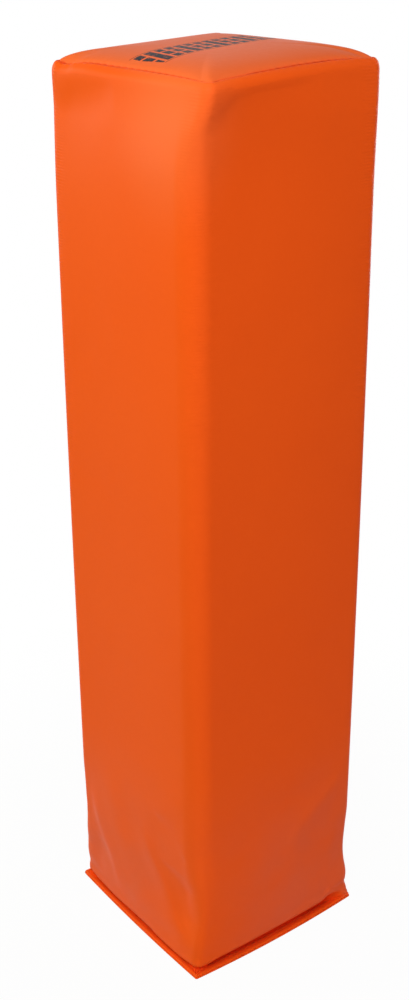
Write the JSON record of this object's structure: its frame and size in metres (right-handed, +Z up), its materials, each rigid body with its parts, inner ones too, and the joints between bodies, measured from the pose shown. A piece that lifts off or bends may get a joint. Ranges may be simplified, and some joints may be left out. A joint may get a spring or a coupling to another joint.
{
  "type": "football pylon",
  "caption": "Upright square-section field marker: foam core and weighted foot in a sewn orange vinyl cover with a low crowned top and a flat sewn lip round the base",
  "frame": {"origin": "on the floor, under the middle of the pylon", "axes": "+Z up along the pylon's length; the two pictured sides face -Y and +X, and the cover's closing seam is at the -X +Y corner"},
  "size_m": [0.1142, 0.1142, 0.4572],
  "materials": {
    "vinyl_cover": "satin",
    "vinyl_top": "satin",
    "vinyl_base": "satin",
    "thread": "matte",
    "foam": "matte",
    "bag_cloth": "matte",
    "sand": "matte"
  },
  "bodies": {
    "root": {"sleeve": "vinyl_cover", "top_panel": "vinyl_top", "bottom_panel": "vinyl_base", "foam_core": "foam", "ballast_bag_upper": "bag_cloth", "ballast_bag_lower": "bag_cloth", "sand_fill": "sand"}
  },
  "joints": []
}
